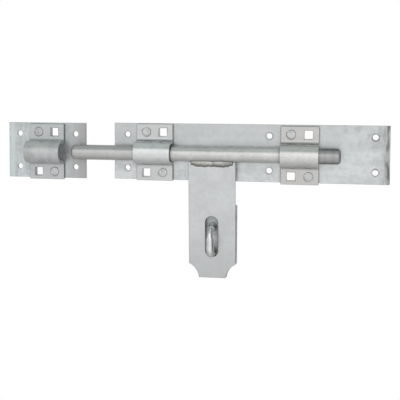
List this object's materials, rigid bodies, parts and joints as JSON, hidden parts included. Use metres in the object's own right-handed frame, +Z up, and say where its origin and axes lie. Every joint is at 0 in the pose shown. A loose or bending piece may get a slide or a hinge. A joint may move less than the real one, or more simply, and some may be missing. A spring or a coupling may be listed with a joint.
{
  "type": "padlock bolt",
  "caption": "Heavy galvanised padlock bolt: a round bar slides in riveted saddle guides, its slotted hasp drops over a padlock staple, and a separate saddle keeper takes the bar's end.",
  "frame": {"origin": "middle of the main plate's flat back face, which lies on the gate", "axes": "+X along the bar, away from the keeper; +Y out of the back face into the gate; +Z up"},
  "size_m": [0.4082, 0.028, 0.1624],
  "materials": {
    "plate_steel": "hot-dip galvanised, matt with faint spangle and cloudy mottling",
    "guide_steel": "hot-dip galvanised, satin, brighter along the crown",
    "rivet_steel": "hot-dip galvanised rivets, flattened heads",
    "bar_steel": "hot-dip galvanised round bar, satin",
    "hasp_steel": "hot-dip galvanised, matt",
    "weld_steel": "galvanised weld bead, rippled",
    "staple_steel": "hot-dip galvanised round bar, satin"
  },
  "bodies": {
    "root": {"main_plate": "plate_steel", "front_guide_saddle": "guide_steel", "front_guide_rivet_upper": "rivet_steel", "front_guide_rivet_lower": "rivet_steel", "rear_guide_saddle": "guide_steel", "rear_guide_rivet_upper": "rivet_steel", "rear_guide_rivet_lower": "rivet_steel", "staple_plate": "plate_steel", "padlock_staple": "staple_steel"},
    "keeper": {"keeper_plate": "plate_steel", "keeper_saddle": "guide_steel", "keeper_rivet_upper": "rivet_steel", "keeper_rivet_lower": "rivet_steel"},
    "bolt": {"bolt_rod": "bar_steel"},
    "hasp": {"hasp_plate": "hasp_steel", "hasp_weld_front": "weld_steel", "hasp_weld_back": "weld_steel"}
  },
  "joints": [
    {"name": "keeper_position", "type": "slide", "parent": "root", "child": "keeper", "axis": [1, 0, 0], "range_m": [0, 0.028]},
    {"name": "bolt_slide", "type": "slide", "parent": "root", "child": "bolt", "axis": [1, 0, 0], "range_m": [0, 0.0421]},
    {"name": "hasp_swing", "type": "hinge", "parent": "bolt", "child": "hasp", "pos_m": [-0.03665, -0.0123, -0.0014], "axis": [-1, 0, 0], "range_deg": [0, 180]}
  ],
  "couplings": [
    {"joint": "bolt_slide", "follows": "hasp_swing", "m_per_rad": 0.013369}
  ]
}
